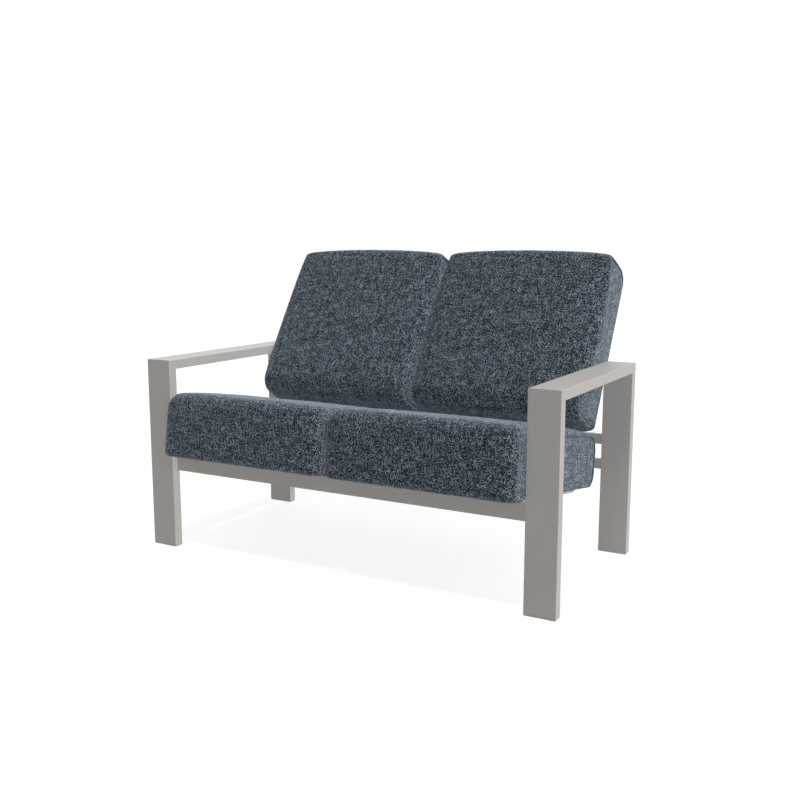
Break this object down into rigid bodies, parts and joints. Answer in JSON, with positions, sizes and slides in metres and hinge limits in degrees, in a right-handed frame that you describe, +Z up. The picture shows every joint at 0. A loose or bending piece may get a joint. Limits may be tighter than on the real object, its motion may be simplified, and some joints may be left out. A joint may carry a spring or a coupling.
{
  "type": "outdoor loveseat",
  "caption": "Deep-seating outdoor loveseat with flat-tube arm frames and loose, crowned seat and back cushions.",
  "frame": {"origin": "on the floor, midway between the sides and midway front to back", "axes": "+X to the sitter's left, which is the right as seen from the front; +Y to the back; +Z up"},
  "size_m": [1.37, 0.894, 0.9378],
  "materials": {
    "frame": "satin powder coat with a fine texture, warm light grey",
    "foot_cap": "moulded nylon, matt, in the colour of the frame",
    "cushion_fabric": "woven outdoor tweed, slate blue with dark and pale flecks",
    "foam": "open-cell cushion foam, hidden",
    "zip": "moulded coil zip on a woven tape, dark slate"
  },
  "bodies": {
    "frame": {"left_front_leg": "frame", "left_arm": "frame", "left_rear_leg": "frame", "right_front_leg": "frame", "right_arm": "frame", "right_rear_leg": "frame", "left_front_foot_cap": "foot_cap", "left_rear_foot_cap": "foot_cap", "right_front_foot_cap": "foot_cap", "right_rear_foot_cap": "foot_cap", "front_rail": "frame", "rear_lower_rail": "frame", "rear_upper_rail": "frame", "left_seat_rail": "frame", "centre_seat_rail": "frame", "right_seat_rail": "frame", "left_upright": "frame", "centre_upright": "frame", "right_upright": "frame", "back_top_rail": "frame", "left_seat_slat_1": "frame", "left_seat_slat_2": "frame", "left_seat_slat_3": "frame", "left_seat_slat_4": "frame", "left_seat_slat_5": "frame", "right_seat_slat_1": "frame", "right_seat_slat_2": "frame", "right_seat_slat_3": "frame", "right_seat_slat_4": "frame", "right_seat_slat_5": "frame", "left_back_slat_1": "frame", "left_back_slat_2": "frame", "left_back_slat_3": "frame", "left_back_slat_4": "frame", "right_back_slat_1": "frame", "right_back_slat_2": "frame", "right_back_slat_3": "frame", "right_back_slat_4": "frame", "end_plugs": "foot_cap", "weld_beads": "frame"},
    "left_seat_cushion": {"left_seat_cover": "cushion_fabric", "left_seat_core": "foam", "left_seat_zip": "zip"},
    "left_back_cushion": {"left_back_cover": "cushion_fabric", "left_back_core": "foam", "left_back_zip": "zip"},
    "right_seat_cushion": {"right_seat_cover": "cushion_fabric", "right_seat_core": "foam", "right_seat_zip": "zip"},
    "right_back_cushion": {"right_back_cover": "cushion_fabric", "right_back_core": "foam", "right_back_zip": "zip"}
  },
  "joints": [
    {"name": "left_seat_cushion_slide", "type": "slide", "parent": "frame", "child": "left_seat_cushion", "axis": [0, -0.9877, 0.1564], "range_m": [0, 0.25]},
    {"name": "left_back_cushion_lift", "type": "slide", "parent": "frame", "child": "left_back_cushion", "axis": [0, 0.5, 0.866], "range_m": [0, 0.3]},
    {"name": "right_seat_cushion_slide", "type": "slide", "parent": "frame", "child": "right_seat_cushion", "axis": [0, -0.9877, 0.1564], "range_m": [0, 0.25]},
    {"name": "right_back_cushion_lift", "type": "slide", "parent": "frame", "child": "right_back_cushion", "axis": [0, 0.5, 0.866], "range_m": [0, 0.3]}
  ]
}
